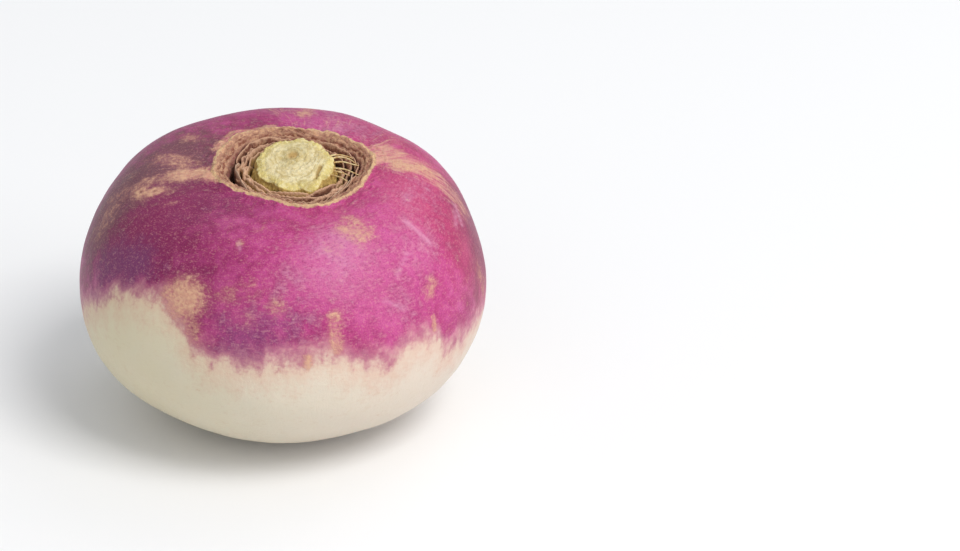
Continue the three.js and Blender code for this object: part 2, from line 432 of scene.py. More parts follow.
SHADES = {  # (degrees, up, spread in mm, strength) of each patch
    # plum: the patches between -10 and 4 degrees darken the right edge as painted shade; the others are the
    # root's own darker purple
    "plum": [(-148, 27, 15.5, 1.0), (-165, 22, 12, 0.6), (160, 24, 25, 0.5), (-112, 12, 9, 0.4),
             (-108, 24, 11, 0.25), (100, 20, 20, 0.3), (-92, 9, 8, 0.3), (-10, 9, 7, 0.6), (4, 10, 9, 0.6),
             (2, 18, 9, 0.6), (-22, 3, 5, 0.4), (-128, 20, 9, 0.15)],
    "violet": [(-150, 14, 9, 0.7), (-137, 20, 6, 0.6), (-118, 19, 7, 0.35), (-100, 8, 8, 0.6),
               (-85, 12, 8, 0.45), (-135, 36, 7, 0.3), (120, 14, 12, 0.5)],
    # pale: painted highlight and sheen, on the front right where the key softbox shines, and on the back
    "pale": [(-62, 30, 8, 0.85), (-37, 21, 8, 0.6), (60, 20, 22, 0.3), (-80, 25, 8, 0.45),
             (-86, 12, 8, 0.25), (-22, 33, 9, 0.5), (-66, 17, 8, 0.25), (-52, 10, 8, 0.4), (55, 41, 9, 0.4),
             (85, 40, 8, 0.4), (-100, 13, 6, 0.35), (-2, 28, 8, 0.35)],
    # rosy: a painted reddish shade and reflection, mostly along the right edge
    "rosy": [(-12, 30, 12, 0.8), (-5, 12, 14, 1.0), (40, 36, 14, 0.5), (-70, 40, 9, 0.3)],
    # dull: a painted grey sheen and shade along the left outline and the back left
    "dull": [(-175, 30, 12, 0.8), (-165, 18, 9, 0.6), (165, 38, 10, 0.5), (-160, 6, 6, 0.4),
             (140, 36, 12, 0.4), (110, 44, 6, 0.5)],
}
shade = {}
for name, patches in SHADES.items():
    shade[name] = sum(strength * np.exp(-(distance_to([(degrees, up)]) / spread) ** 2)
                      for degrees, up, spread, strength in patches)
print("soil line from", line[:, 1].min(), "to", line[:, 1].max(), "mm; shades:", list(shade))

# %% Corky marks and grazes
MARKS = [  # a line through (degrees, up) places, half width in mm and strength
    ([(-166, 43.2), (-173, 40.5), (-173, 37.6)], 2.7, 1.0),  # from the rim to the left
    ([(-173, 37.6), (-171, 34.5), (-168, 30.6)], 3.4, 0.62),
    ([(-165.8, 30.6), (-162.5, 32.8)], 3.0, 0.62),
    ([(170, 35), (176, 37.5)], 2.8, 0.62),
    ([(149, 35.7)], 2.0, 0.6),
    ([(-149, 33.7)], 1.0, 0.6),
    ([(-172, 25), (-166, 19)], 4.5, 0.42),
    ([(-57, 33.8), (-53, 30)], 3.8, 0.62),
    ([(5, 37), (3, 34.5)], 2.4, 0.85),
    ([(6, 30.5), (4, 28.5)], 2.2, 0.8),
    ([(-66, 29)], 2.5, 0.4),
    ([(158, 41.4), (135, 41), (108, 41.3)], 1.0, 0.75),  # along the rim at the back left
    ([(-116.5, 16.0)], 5.4, 1.0),  # the large graze at the soil line
    ([(-114, 12.0), (-111, 8.5)], 3.0, 0.52),
    ([(-96.2, 20)], 3.0, 0.36),
    ([(-103.5, 18.6)], 3.4, 0.42),
    ([(-97, 13)], 2.8, 0.38),
    ([(-88, 16)], 2.6, 0.52),
    ([(-72, 13), (-72.2, 6)], 1.7, 0.72),
    ([(-80, 4.8), (-80, 2.4)], 0.9, 0.9),
    ([(-38.5, 13.3), (-40.5, 12)], 2.0, 0.56),
    ([(-40.9, 6.5), (-41.2, 3.4)], 0.8, 0.8),
    ([(-103.5, 31.2)], 1.1, 0.6),
    ([(-99, 34.9)], 0.9, 0.6),
    ([(-12, 8), (-10, 2)], 2.4, 0.45),
    ([(70, 18)], 3.5, 0.8),
    ([(118, 27), (112, 22)], 2.6, 0.7),
    ([(140, 8)], 2.6, 0.7),
    ([(85, 36), (80, 31)], 2.4, 0.6),
    ([(-72, -40), (-66, -39)], 0.9, 0.7),  # where side roots were rubbed off, underneath
    ([(-58, -46)], 1.3, 0.7),
    ([(-110, -43), (-106, -44)], 0.8, 0.7),
    ([(24, -42)], 1.2, 0.7),
    ([(112, -38), (118, -37)], 1.0, 0.7),
    ([(128, -45)], 1.4, 0.7),
    ([(-170, -41)], 1.0, 0.7),
]
print("corky marks:", len(MARKS))

# %% Weathered bands
RUSSET = [  # written the same way: weathered bands that run down from the crown
    ([(16, 42.5), (20, 39.5), (6, 36)], 5.5, 0.9),
    ([(6, 36), (6, 30), (2, 26), (-1, 20)], 5.5, 0.7),
    ([(33, 40), (30, 34)], 4.5, 0.5),
    ([(-172, 38), (178, 33), (178, 26)], 4.5, 0.4),
    ([(92, 39), (96, 34)], 4.5, 0.5),
    ([(70, 38), (62, 35)], 4.0, 0.5),
]


def marked(marks, softness):
    """How strongly each point is marked: each mark's strength in its middle, fading past its edge."""
    strongest = np.zeros(len(turned))
    for mark_places, half_width, strength in marks:
        share = strength * np.clip(1 + softness - distance_to(mark_places) / half_width, 0, 1)
        strongest = np.maximum(strongest, share)
    return strongest


mark = marked(MARKS, 0.45)
russet = marked(RUSSET, 0.45)
print("weathered share of the skin:", round(float((russet > 0.3).mean()), 3))

# %% Eyes and scratches
EYES = [(-165.8, 30.6), (-162.5, 32.8)]  # round scars with a dark middle
eye = np.zeros(len(turned))
for place in EYES:
    away = distance_to([place])
    mark = np.maximum(mark, np.clip(1.35 - np.abs(away - 0.9) / 0.9, 0, 1))
    eye = np.maximum(eye, np.clip(1 - away / 0.8, 0, 1))

scratch = marked([
    ([(-33.5, 27.9), (-31.5, 21.4)], 0.8, 0.8),
    ([(-4.5, 21.2), (-10, 17.9)], 0.7, 0.7),
    ([(-8.5, 20.8), (-14, 19)], 0.6, 0.6),
    ([(-102.2, 29.4), (-104, 31.5)], 0.5, 0.5),
    ([(-42, 22), (-50, 18)], 0.5, 0.5),
    ([(-56, 14), (-50, 10.5)], 0.5, 0.5),
], 0.2)
print("eyes:", len(EYES), " marked share of the skin:", round(float((mark > 0.3).mean()), 3))

# %% Cork, grooves, basin and scar
rim = crown_share * ease(-radius, -19.2, -17.8) * ease(radius, 14.9, 15.5)
slope = crown_share * ease(-radius, -17.2, -16.6)
edge_of_cork = crown_share * ease(radius, 17.3, 17.9) * ease(-radius, -19.0, -18.2)
basin = crown_share * ease(-turned[:, 2], -55.0, -52.6)
# A groove is where the outline lies below the same outline smoothed over seven rings.
smooth_height = np.convolve(np.pad(ring_height, 3, mode="edge"), np.ones(7) / 7, mode="valid")
groove = (smooth_height - ring_height)[nearest_ring] * crown_share
scar = 1 - ease(along, scar_up - 1.2, scar_up + 1)
print("points on the rim:", int((rim > 0.5).sum()), " in the basin:", int((basin > 0.5).sum()))


# %% Keep the numbers on the points
def store(piece, name, values):
    """Keeps one number, or one vector, for each point of a piece, for its material to read."""
    kind, field = ("FLOAT_VECTOR", "vector") if values.ndim == 2 else ("FLOAT", "value")
    piece.data.attributes.new(name, kind, "POINT").data.foreach_set(field, np.ravel(values))


STREAK = 2.6  # how many times longer a streak is than it is wide
store(root, "grain", np.stack([turned[:, 0], turned[:, 1], along * STREAK], axis=1))
store(root, "ray", np.stack([np.cos(angle) * 40, np.sin(angle) * 40, along / STREAK / 2], axis=1))
store(root, "layer", np.stack([turned[:, 0] / 4, turned[:, 1] / 4, along + turned[:, 2]], axis=1))
root_numbers = {
    "tide": tide, **shade, "mark": mark, "russet": russet, "eye": eye, "scratch": scratch, "rim": rim,
    "slope": slope, "edge of cork": edge_of_cork, "basin": basin, "groove": groove, "scar": scar,
    "east": turned[:, 0] / BELLY_RADIUS,
}
for name, values in root_numbers.items():
    store(root, name, values)
print("stored:", list(root_numbers))

# %% [markdown]
# ## A way to write materials
# Each material here is a stack of coats, as a painter would lay them. A pattern is noise at a real size
# in millimetres. A mask says where a coat goes: it adds up stored numbers and patterns, each with a
# weight, and rises smoothly from 0 to 1 between two values of that sum. A coat is a colour and its mask.
# So each material can be written as a short table, and one function turns any such table into nodes.
# A colour is chosen as it looks on a screen, as a hex value, and is turned to the linear values that
# light adds up in.


# %% Colour, nodes and coats
def linear(hex_colour):
    """A screen colour such as #c27ba0 as the linear red, green, blue and alpha that shaders use."""
    screen = [int(hex_colour[i : i + 2], 16) / 255 for i in (1, 3, 5)]
    return [c / 12.92 if c <= 0.04045 else ((c + 0.055) / 1.055) ** 2.4 for c in screen] + [1]


def add(tree, kind, inputs, out=0, **settings):
    """Adds a node and returns an output. inputs gives its sockets values, or outputs to link from."""
    node = tree.nodes.new("ShaderNode" + kind)
    for name, value in settings.items():
        setattr(node, name, value)
    for socket, value in inputs.items():
        if isinstance(value, bpy.types.NodeSocket):
            tree.links.new(value, node.inputs[socket])
        else:
            node.inputs[socket].default_value = value
    return node.outputs[out]


def coated(name, patterns, masks, coats, roughness, relief, depth, **finish):
    """Makes a material from tables.

    patterns: name -> (vector to read, size in mm, detail, roughness of the noise)
    masks: name -> (terms, low, high), where terms are (number, pattern or mask, weight)
    coats: (colour, mask or None, strength, mask that the coat stays inside or None)
    roughness: terms; relief: terms of the bump, which is depth high in metres
    finish: values for the shader's own sockets
    """
    material = bpy.data.materials.new(name)
    material.use_nodes = True
    tree = material.node_tree
    shader = tree.nodes["Principled BSDF"]
    place = add(tree, "TexCoord", {}, "Object")
    known = {"place": add(tree, "Mapping", {"Vector": place, "Scale": (1 / MM, 1 / MM, 1 / MM)})}

    def known_as(source, out="Fac"):
        if source not in known:
            known[source] = add(tree, "Attribute", {}, out, attribute_name=source)
        return known[source]

    def total(terms):
        result = 0.0
        for source, weight in terms:
            factor = known_as(source) if isinstance(source, str) else source
            result = add(tree, "Math", {0: factor, 1: weight, 2: result}, operation="MULTIPLY_ADD")
        return result

    for pattern, (vector, size, detail, rough) in patterns.items():
        inputs = {
            "Vector": known_as(vector, "Vector"), "Scale": 1 / size, "Detail": detail, "Roughness": rough,
        }
        known[pattern] = add(tree, "TexNoise", inputs)
    for mask, (terms, low, high) in masks.items():
        inputs = {"Value": total(terms), "From Min": low, "From Max": high}
        known[mask] = add(tree, "MapRange", inputs, interpolation_type="SMOOTHSTEP")
    colour = linear(coats[0][0])
    for hex_colour, mask, strength, inside_of in coats[1:]:
        share = add(tree, "Math", {0: known_as(mask), 1: strength}, operation="MULTIPLY")
        if inside_of:
            share = add(tree, "Math", {0: share, 1: known[inside_of]}, operation="MULTIPLY")
        mix = {0: share, 6: colour, 7: linear(hex_colour)}  # 6 and 7 are its two colour sockets
        colour = add(tree, "Mix", mix, 2, data_type="RGBA")
    tree.links.new(colour, shader.inputs["Base Color"])
    tree.links.new(total(roughness), shader.inputs["Roughness"])
    bump = add(tree, "Bump", {"Height": total(relief), "Distance": depth})
    tree.links.new(bump, shader.inputs["Normal"])
    for socket, value in finish.items():
        shader.inputs[socket.replace("_", " ")].default_value = value
    print(name, "nodes:", len(tree.nodes))
    return material


# %% [markdown]
# ## Turnip skin
# The skin is a thin, smooth, slightly waxy layer over wet flesh. That gives a broad, soft highlight and
# a little light that goes in and comes out again. Up close it is peppered with pale and dark specks, and
# with short streaks, where the outer cells have dried. The specks here are a third of a millimetre
# across, coarser than the real ones, because finer ones would not show. The purple is plum where it is
# thick and pink where it is thin, and it breaks up into dots and tongues at the soil line, over a rosy
# blush. On the purple lie painted highlight and sheen at the front right and the back, a painted reddish
# shade at the right edge, and a painted grey sheen and shade along the left outline. The marks are cork:
# dry, tan and matte. The crown's rim is cork too, in ridges whose grooves are darkened with painted
# shade, and inside it the basin's wall is bare, brown and dry, and its floor is painted nearly black as
# shade. Underneath, the cut of the tap root has healed over with a tan callus. The tables follow that
# order: cream, purple, marks, crown, scar.

# %% Patterns of the skin
SKIN_PATTERNS = {  # what it reads, size in mm, detail, roughness
    "speck": ("place", 0.32, 1, 0.5),
    "dots": ("place", 0.8, 2, 0.5),
    "streaks": ("grain", 1.3, 3, 0.65),
    "rays": ("ray", 0.8, 3, 0.65),
    "mottle": ("place", 2.8, 3, 0.6),
    "clouds": ("place", 9, 3, 0.55),
    "crust": ("place", 0.8, 3, 0.65),
    "layers": ("layer", 0.5, 3, 0.7),
}
print("skin patterns:", list(SKIN_PATTERNS))

# %% Where each coat of the skin goes
SKIN_MASKS = {
    # the cream
    "green shade": ([("east", -1), ("clouds", 0.6)], 0.0, 1.3),
    "pink shade": ([("east", 1), ("clouds", 0.4)], -0.1, 1.3),
    "stain": ([("streaks", 1), ("mottle", 0.5)], 0.78, 1.05),
    # the purple over it
    "skin": ([("tide", 1), ("rays", 1.6), ("dots", 3), ("mottle", 7), ("speck", 1.5)], 3.4, 11.4),
    "blush": ([("tide", 1), ("mottle", 9), ("dots", 6), ("rays", 4)], -1.5, 11),
    "faded": ([("tide", -1), ("mottle", 6), ("streaks", 4), ("dots", 3)], 2.2, 8),
    # the root's own deep purple, and painted shade at the right edge
    "deep purple and painted shade": ([("plum", 1), ("mottle", 1.0), ("clouds", 1.0)], 0.7, 1.9),
    "blue": ([("violet", 1), ("mottle", 0.8), ("dots", 0.5)], 0.8, 1.5),
    # painted highlight and sheen, broken up by the skin's mottling and streaks
    "painted highlight and sheen": ([("pale", 1), ("mottle", 1.3), ("dots", 0.5), ("streaks", 0.9), ("clouds", 0.8)],
             1.9, 3.1),
    "rich": ([("clouds", 1), ("mottle", 0.8)], 0.82, 1.12),
    "light": ([("clouds", -0.8), ("mottle", -1), ("streaks", -0.3)], -1.12, -0.7),
    # painted reddish shade and reflection
    "painted red shade and reflection": ([("rosy", 1), ("mottle", 0.9), ("clouds", 0.5)], 0.6, 1.5),
    # painted grey sheen and shade along the left outline
    "painted grey sheen and shade": ([("dull", 1), ("mottle", 0.8), ("dots", 0.4), ("streaks", 0.5)], 1.1, 1.8),
    "dry speck": ([("speck", 1), ("streaks", 0.7), ("dots", 0.4)], 1.02, 1.38),
    "dark speck": ([("speck", -1), ("streaks", -0.5), ("dots", -0.4)], -0.92, -0.6),
    # the marks
    "cork": ([("mark", 1.2), ("streaks", 0.7), ("speck", 0.3), ("dots", 0.5), ("mottle", 1.2)],
             1.75, 2.75),
    "halo": ([("mark", 1), ("mottle", 0.9), ("dots", 0.6), ("streaks", 0.6)], 1.1, 2.1),
    "weathered": ([("russet", 1.5), ("rays", 2.0), ("speck", 0.4), ("mottle", 0.8)], 2.2, 3.2),
    "knobs": ([("crust", 1), ("groove", -1.2)], 0.38, 0.62),
    # the crown
    "corky": ([("rim", 1), ("crust", 0.8), ("rays", 0.6)], 1.05, 1.6),
    "bare": ([("slope", 1), ("crust", 0.3)], 0.4, 0.9),
    "pale layer": ([("layers", -1), ("crust", 0.4)], -0.32, -0.2),
    # dark lines between the cork layers, with painted shade in the grooves
    "dark layer and painted groove shade": ([("layers", 1), ("crust", -0.4), ("groove", 0.8)], 0.34, 0.5),
    "edge": ([("edge of cork", 1), ("crust", 1.2), ("layers", -0.8)], 0.75, 1.35),
    # painted shade in the grooves
    "painted groove shade": ([("groove", 1), ("crust", -0.5)], -0.14, 0.08),
    # painted shade: the basin's floor, deep under the stump and the leaf bases
    "painted basin shade": ([("basin", 1)], 0.05, 0.9),
    # the scar underneath, and the eyes
    "callus": ([("scar", 1), ("mottle", 1.2), ("crust", 0.6)], 1.15, 1.45),
    "pit": ([("eye", 1)], 0.2, 0.8),
}
print("skin masks:", len(SKIN_MASKS))

# %% The coats of the skin
SKIN_COATS = [
    # the cream
    ("#d7cdba", None, 1, None),
    ("#d3c8a6", "green shade", 0.8, None),
    ("#d8c7bb", "pink shade", 0.7, None),
    ("#c7b287", "stain", 0.18, None),
    ("#cd9782", "blush", 0.5, None),
    # the purple over it
    ("#b73b80", "skin", 1, None),
    ("#a8296a", "rich", 0.35, "skin"),
    ("#c96a9c", "light", 0.4, "skin"),
    # painted reddish shade and reflection on the purple
    ("#b93a5c", "painted red shade and reflection", 0.55, "skin"),
    # the root's own deep purple, and painted shade at the right edge
    ("#6e1443", "deep purple and painted shade", 0.85, "skin"),
    ("#6b3a67", "blue", 0.6, "skin"),
    # painted highlight and sheen on the purple
    ("#d088ae", "painted highlight and sheen", 0.75, "skin"),
    # painted grey sheen and shade on the purple
    ("#5f4645", "painted grey sheen and shade", 0.7, "skin"),
    ("#b07a8c", "faded", 0.5, "skin"),
    ("#d3988f", "dry speck", 0.28, "skin"),
    ("#651a41", "dark speck", 0.4, "skin"),
    # the marks
    ("#b97a72", "halo", 0.6, None),
    ("#d2a28c", "weathered", 0.85, None),
    ("#ca9a80", "cork", 0.75, None),
    ("#dab690", "knobs", 0.45, "cork"),
    ("#6b3b2c", "pit", 0.7, None),
    ("#d9a3bd", "scratch", 0.6, None),
    # the crown
    ("#a87d67", "corky", 0.95, None),
    ("#87564a", "bare", 0.9, None),
    ("#cfa480", "pale layer", 0.65, "corky"),
    # dark lines between the layers, with painted shade in the grooves
    ("#7c4c38", "dark layer and painted groove shade", 0.65, "corky"),
    ("#cfae84", "edge", 0.85, None),
    ("#b38a72", "knobs", 0.5, "bare"),
    # dark lines between the layers, with painted shade in the grooves
    ("#7d4936", "dark layer and painted groove shade", 0.5, "bare"),
    # painted shade in the grooves of the rim and of the basin's wall
    ("#54301f", "painted groove shade", 0.6, "corky"),
    ("#54301f", "painted groove shade", 0.6, "bare"),
    # the basin's floor painted nearly black as shade
    ("#43261a", "painted basin shade", 0.92, None),
    # the scar underneath
    ("#c2a679", "callus", 0.85, None),
    ("#94734d", "dark layer and painted groove shade", 0.6, "callus"),
    ("#d9c49c", "pale layer", 0.5, "callus"),
]
print("skin coats:", len(SKIN_COATS))

# %% Skin material
skin = coated(
    "purple-top turnip skin, washed",
    patterns=SKIN_PATTERNS,
    masks=SKIN_MASKS,
    coats=SKIN_COATS,
    roughness=[(0.33, 1.0), ("cork", 0.25), ("weathered", 0.15), ("corky", 0.3), ("bare", 0.2),
               ("dots", 0.2)],
    relief=[("speck", 0.10), ("streaks", 0.12), ("mottle", 0.2), ("cork", 0.2), ("crust", 0.12),
            ("scratch", -0.35), ("rays", 0.1)],
    depth=0.5 * MM,
    IOR=1.45,
    Subsurface_Weight=0.1,
    Subsurface_Radius=(3.0, 1.6, 1.2),
    Subsurface_Scale=MM,
    Specular_IOR_Level=0.35,
)
root.data.materials.append(skin)
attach(root, "root")
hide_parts("turnip_root")

# %% [markdown]
# ## The crown's own frame
# The pieces in the crown all lean with it. Each is modelled upright about the world's middle, where it
# is easy to think about, and then the whole piece is moved and leaned at once.

# %% Crown frame
CROWN = Matrix.Translation(Vector((CROWN_SHIFT, 0, RIM_HEIGHT)) * MM) @ Matrix.Rotation(CROWN_LEAN, 4, "X")
BASIN_FLOOR = -4.1
FOOT = BASIN_FLOOR + 0.3  # where the pieces in the crown stand, with a small gap under them


def set_in_crown(piece, node):
    """Leans a finished piece into the crown, applies its place, hangs it on the root's body and hides its CAD
    node.
    """
    start_clean()
    piece.matrix_world = CROWN
    piece.select_set(True)
    bpy.context.view_layer.objects.active = piece
    bpy.ops.object.transform_apply(location=True, rotation=True, scale=True)
    bpy.ops.object.shade_smooth()
    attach(piece, "root")
    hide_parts(node)
    low, high = (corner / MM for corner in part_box(node))
    size = places(piece).max(axis=0) - places(piece).min(axis=0)
    print(piece.name, "size", size.round(1), "CAD", [round(side, 1) for side in high - low])


def joined(pieces, name, material):
    """Joins pieces into one and gives it its name and material."""
    start_clean()
    for piece in pieces:
        piece.select_set(True)
    bpy.context.view_layer.objects.active = pieces[0]
    if len(pieces) > 1:
        bpy.ops.object.join()
    pieces[0].name = name
    pieces[0].data.materials.append(material)
    return pieces[0]


# %% [markdown]
# ## The stump of the leaf stalks
# The knife went through a bundle of leaf stalks grown together round a pith. Fibres tore as it went, so
# the cut is rough: rings round the pith, ragged at the edge, with a crack where one stalk parted. It is
# turned like the root, so that its rings follow the real ones, and then roughened point by point.

# %% Turn the stump
stump_low, stump_high = (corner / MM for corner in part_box("crown_stump"))
STUMP_RADIUS = (stump_high.x - stump_low.x) / 2 * 0.9
STUMP_TOP = 1.7
CUT_LEAN = math.tan(math.radians(7.5))

wall = [(STUMP_RADIUS + 0.9 * (1 - h), FOOT + (STUMP_TOP - 0.2 - FOOT) * h) for h in np.linspace(0, 1, 18)]
edge = [(STUMP_RADIUS - 0.25, STUMP_TOP - 0.05)]
cut = [(r, STUMP_TOP) for r in np.linspace(STUMP_RADIUS - 0.6, 0, 44)]
stump_outline = [(0, FOOT), (STUMP_RADIUS / 2, FOOT)] + wall + edge + cut

stump = lathe("stalk_stump", stump_outline, spin_steps=192)
print("stump radius, mm:", round(STUMP_RADIUS, 2))

# %% Stalks round its side
PITH = np.array([-0.6, 2.2])
co = places(stump)
stalk_angle = np.arctan2(co[:, 1], co[:, 0])
stalk_radius = np.hypot(co[:, 0], co[:, 1])
on_cut = ease(co[:, 2], STUMP_TOP - 0.35, STUMP_TOP - 0.1)
rounded = np.stack([np.cos(stalk_angle), np.sin(stalk_angle), co[:, 2] * 0.12], axis=1) * 3
STALKS = [  # degrees, half width, how far out
    (205, 16, 0.1), (262, 16, 0.5), (300, 15, 1.4), (338, 16, 0.6), (15, 18, 0.5), (75, 18, 0.1),
    (125, 20, 0.5), (235, 12, -0.4),
]
bulge = 0.35 * rumple(rounded, 1.3, 11) + 0.22 * rumple(rounded, 0.35, 12)
for degrees, half_width, out in STALKS:
    away = (np.degrees(stalk_angle) - degrees + 180) % 360 - 180
    bulge += out * np.exp(-((away / half_width) ** 2))
flare = 1.3 * np.exp(-(((np.degrees(stalk_angle) + 360) % 360 - 195) / 38) ** 2) * ease(-co[:, 2], -1.0, 3.5)
spread = 1 + (bulge + flare) * ease(stalk_radius, 0, STUMP_RADIUS) / STUMP_RADIUS
co[:, 0] *= spread
co[:, 1] *= spread * 1.05  # a little longer from front to back
print("stalks:", len(STALKS), " stump width, mm:", round(float(np.ptp(co[:, 0])), 1))

# %% Rings on the cut, its torn edge and the crack
RING_SPACING = 1.25
from_pith = np.hypot(co[:, 0] - PITH[0], (co[:, 1] - PITH[1]) * 0.7)
rings = 0.07 * np.sin(from_pith * 2 * math.pi / RING_SPACING + 2.2 * rumple(co, 2.5, 13))
torn = 0.28 * rumple(co, 3.2, 14) + 0.12 * rumple(co, 1.0, 15) + 0.08 * rumple(co, 0.4, 16)
frayed = 0.5 * np.clip(rumple(rounded, 0.22, 17), 0, 1) * ease(stalk_radius, STUMP_RADIUS - 1.6, STUMP_RADIUS)
edge_drop = 0.55 * ease(stalk_radius, STUMP_RADIUS - 2.2, STUMP_RADIUS)
pith_dip = 0.3 * np.exp(-((from_pith / 1.0) ** 2))
CRACK = (np.array([5.6, -1.6]), np.array([4.6, -5.4]))  # where one stalk parted, on the right
a, b = CRACK
share = np.clip(((co[:, :2] - a) @ (b - a)) / ((b - a) @ (b - a)), 0, 1)
crack_away = np.linalg.norm(co[:, :2] - a - share[:, None] * (b - a), axis=1) + 0.2 * rumple(co, 0.8, 18)
crack = np.exp(-((crack_away / 0.35) ** 2))
lifted = ease(co[:, 2], BASIN_FLOOR + 1, STUMP_TOP - 0.6)  # the top of the side follows the slanting cut
co[:, 2] += on_cut * (rings + frayed - pith_dip - 0.8 * crack)
co[:, 2] += lifted * (torn - edge_drop + co[:, 1] * CUT_LEAN)
side = 1 - on_cut
fibres = 0.1 * rumple(co * [1, 1, 0.15], 0.45, 19)
co[:, 0] += side * fibres * np.cos(stalk_angle)
co[:, 1] += side * fibres * np.sin(stalk_angle)
move_to(stump, co)
print("cut from", round(float(co[on_cut > 0.9][:, 2].min()), 1), "to", round(float(co[:, 2].max()), 1), "mm")

# %% Keep what its material reads
store(stump, "from_pith", from_pith + 0.25 * rumple(co, 1.6, 20))
store(stump, "crack", crack * on_cut)
store(stump, "on_cut", on_cut)
store(stump, "outer", ease(stalk_radius, STUMP_RADIUS - 3, STUMP_RADIUS))
store(stump, "upright", co * [1, 1, 0.12])
around = np.arctan2(co[:, 1] - PITH[1], co[:, 0] - PITH[0])
store(stump, "ringed", np.stack([from_pith, np.cos(around) * 0.8, np.sin(around) * 0.8], axis=1))
print("stump:", len(stump.data.polygons), "faces")

# %% [markdown]
# ## Cut stalk
# Freshly cut, a stump is pale green and wet. This one has dried to straw yellow, matte and a little
# dusty. Fine rings run round the orange pith, the torn edge is lighter where fibres stand up, and the
# side is a deeper yellow, with brown threads where the stalks' fibres run down it.

# %% Stump material
stalk = coated(
    "cut leaf stalks, dried",
    patterns={
        "pulp": ("place", 0.9, 4, 0.6),
        "patches": ("place", 2.4, 3, 0.6),
        "rings": ("ringed", 0.55, 2, 0.5),
        "threads": ("upright", 0.4, 3, 0.6),
    },
    masks={
        "straw": ([("patches", 1)], 0.36, 0.6),
        "pits": ([("pulp", 1), ("patches", 0.4)], 0.74, 0.95),
        "frayed": ([("pulp", -1), ("outer", 0.06)], -0.48, -0.32),
        "yellow": ([("outer", 1), ("patches", 1.4)], 0.75, 1.6),
        "heart": ([("from_pith", -1), ("patches", 2.0)], -3.2, -0.4),
        "growth ring": ([("rings", 1), ("pulp", 0.3)], 0.68, 0.8),
        "ring": ([("from_pith", -1), ("pulp", 1.2)], -1.8, -1.2),
        "pith": ([("from_pith", -1), ("pulp", 0.8)], -1.0, -0.1),
        "brown thread": ([("threads", 1)], 0.4, 0.6),
        "flank": ([("on_cut", -1), ("pulp", 0.3)], -0.6, -0.1),
        "split": ([("crack", 1)], 0.25, 0.8),
    },
    coats=[
        ("#cdbb8a", None, 1, None),
        ("#e2d5ae", "straw", 0.85, None),
        ("#d3bf6c", "yellow", 0.75, None),
        ("#c9b987", "heart", 0.6, None),
        ("#b19c66", "ring", 0.45, None),
        ("#b59f66", "growth ring", 0.55, None),
        ("#bca268", "pits", 0.4, None),
        ("#ece1bd", "frayed", 0.4, None),
        ("#b9955a", "pith", 0.9, None),
        ("#c2a45e", "flank", 1, None),
        ("#86642f", "brown thread", 0.6, "flank"),
        ("#9c7a34", "split", 0.75, None),
    ],
    roughness=[(0.68, 1.0), ("pulp", 0.15)],
    relief=[("pulp", 0.7), ("threads", 0.5)],
    depth=0.5 * MM,
    IOR=1.4,
    Subsurface_Weight=0.1,
    Subsurface_Radius=(1.5, 1.2, 0.6),
    Subsurface_Scale=MM,
)
stump.data.materials.append(stalk)
set_in_crown(stump, "crown_stump")

# %% [markdown]
# ## The dry leaf bases
# Each old leaf left the foot of its stalk behind. It dried into a curved, papery scale that is thick at
# the bottom, thin and torn along its top edge, and curls away from the stump. A scale starts as a flat
# grid: one way round the stump, the other way up it. The grid is bent, its edge is torn, and Solidify
# and Subdivision Surface give it its thickness and its softness. Two to four such sheets, one inside
# the other, make up one leaf base, because the foot of a stalk splits into layers as it dries.


# %% One sheet
def sheet(radius, start, end, top, curl, thick, tone, seed, fold=0.35, tear=0.5, paper=0.0):
    """A curled dry sheet. start and end are degrees round the crown; the rest is in millimetres.

    tone is 0 for purple-brown, 1 for straw; paper is how pale and papery its edge is.
    """
    start_clean()
    bpy.ops.mesh.primitive_grid_add(x_subdivisions=64, y_subdivisions=14, size=1)
    piece = bpy.context.object
    flat = places(piece) * MM
    u = flat[:, 0] + 0.5
    v = flat[:, 1] + 0.5
    turn = np.radians(start + (end - start) * u)
    arc = np.stack([turn * radius, np.zeros_like(u), np.full_like(u, seed * 3.7)], axis=1)
    end_taper = np.sin(np.pi * np.clip(u, 0, 1)) ** 0.45
    edge_line = top + tear * (0.5 * rumple(arc, 2.6, seed) - 0.5 * np.abs(rumple(arc, 0.8, seed + 1)))
    edge_line -= 0.3 * np.abs(rumple(arc, 0.4, seed + 5))
    height = FOOT + (edge_line - FOOT) * v * (0.35 + 0.65 * end_taper)
    bent = arc + np.stack([np.zeros_like(v), v * 2.5, np.zeros_like(v)], axis=1)
    waves = 0.8 * fold * rumple(bent, 2.4, seed + 2) * (0.3 + 0.7 * v) + 0.08 * rumple(bent, 0.6, seed + 3)
    away = radius + curl * v**2 * end_taper + waves - 0.5 * (1 - end_taper)
    away += rim_pull(np.degrees(turn)) * np.clip((away - 9) / 6, 0, 1)
    move_to(piece, np.stack([away * np.cos(turn), away * np.sin(turn), height], axis=1))
    store(piece, "up", v)
    store(piece, "tone", np.full_like(u, tone))
    store(piece, "paper", np.full_like(u, paper))
    store(piece, "veins_at", np.stack([turn * radius, v * 1.2, np.full_like(u, seed * 2.3)], axis=1))
    body = piece.vertex_groups.new(name="body")
    for i, share in enumerate(1 - 0.6 * v**2):
        body.add([i], float(share), "REPLACE")
    solid = piece.modifiers.new("thickness", "SOLIDIFY")
    solid.thickness = thick * MM
    solid.offset = 0
    solid.vertex_group = "body"
    soft = piece.modifiers.new("softness", "SUBSURF")
    soft.levels = 1
    soft.render_levels = 1
    for modifier in ("thickness", "softness"):
        bpy.ops.object.modifier_apply(modifier=modifier)
    return piece


# %% [markdown]
# ## Dry leaf
# Dried, the sheets are pinkish brown with a trace of the purple that the stalk had, darker in the folds,
# and straw-coloured along the torn edge, where they are thin enough to let light through. Low down they
# are painted dark as shade, deepest at the foot, where they stand in the crown. Fine veins run up them.
# The surface is matte, like paper.

